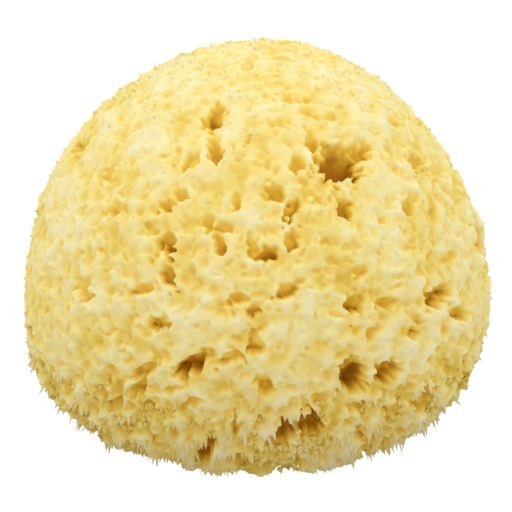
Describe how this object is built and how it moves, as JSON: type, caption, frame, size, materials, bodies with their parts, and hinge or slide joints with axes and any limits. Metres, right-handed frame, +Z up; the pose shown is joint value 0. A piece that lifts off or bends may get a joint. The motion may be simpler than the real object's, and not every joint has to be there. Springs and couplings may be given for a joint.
{
  "type": "sea sponge",
  "caption": "Rounded natural sea sponge with pointed tufts all over, open canals of several sizes, and a flat cut base to rest on.",
  "frame": {"origin": "middle of the sponge's box, on the flat cut that it rests on", "axes": "+Z up from the flat cut, +X to the right of the view in the picture, -Y towards the camera"},
  "size_m": [0.131, 0.123, 0.1114],
  "materials": {
    "sponge": "matte, dry spongin fibre, pale cream tufts over ochre canals"
  },
  "bodies": {
    "root": {"sea_sponge": "sponge"}
  },
  "joints": []
}
